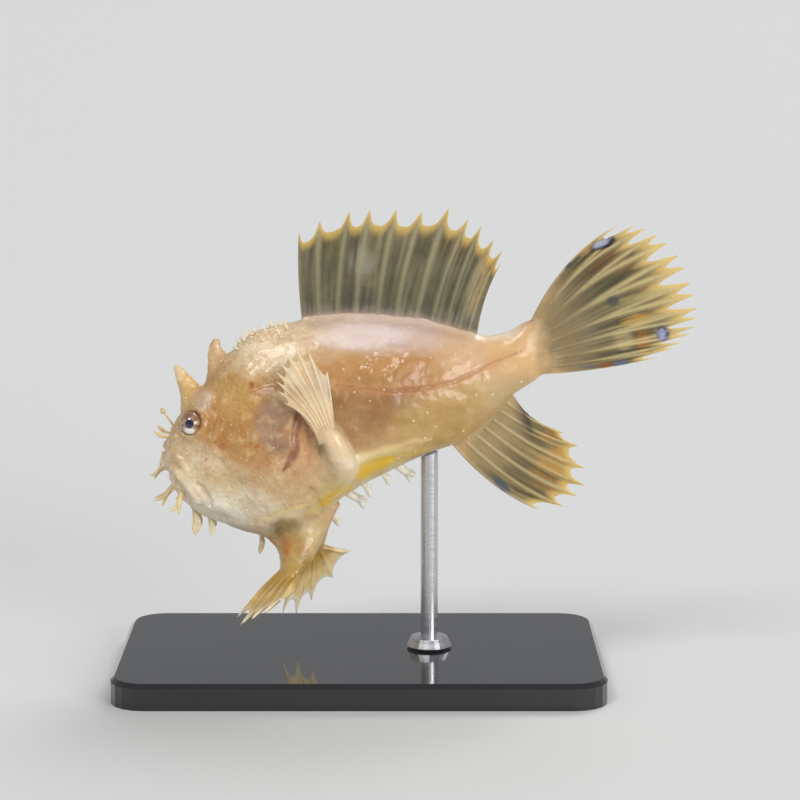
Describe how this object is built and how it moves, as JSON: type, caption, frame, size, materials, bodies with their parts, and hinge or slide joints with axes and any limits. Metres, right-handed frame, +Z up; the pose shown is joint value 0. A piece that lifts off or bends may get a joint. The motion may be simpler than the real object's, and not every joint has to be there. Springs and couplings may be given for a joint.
{
  "type": "sargassum fish",
  "caption": "Life-size still model of a sargassum fish hovering head down, held over a flat base by one short rod.",
  "frame": {"origin": "centre of the underside of the stand's base, under the middle of the fish", "axes": "+Z up, the fish's head towards -X and its tail towards +X, its left side towards -Y"},
  "size_m": [0.0668, 0.032, 0.0545],
  "materials": {
    "skin": "moist, slightly glossy skin, peach tan",
    "fin_membrane": "thin translucent membrane with cream rays",
    "eye": "wet dark eye",
    "stand_base": "polished black acrylic",
    "stand_rod": "brushed steel"
  },
  "bodies": {
    "root": {"arm_left": "skin", "arm_right": "skin", "eye_left": "eye", "eye_right": "eye", "fin_anal": "fin_membrane", "fin_caudal": "fin_membrane", "fin_dorsal": "fin_membrane", "fin_pectoral_left": "fin_membrane", "fin_pectoral_right": "fin_membrane", "fin_pelvic_left": "fin_membrane", "fin_pelvic_right": "fin_membrane", "head": "skin", "jaw": "skin", "leg_left": "skin", "leg_right": "skin", "spine_lure": "skin", "spine_second": "skin", "spine_third": "skin", "stand_base": "stand_base", "stand_rod": "stand_rod", "tail_stalk": "skin", "trunk": "skin"}
  },
  "joints": []
}
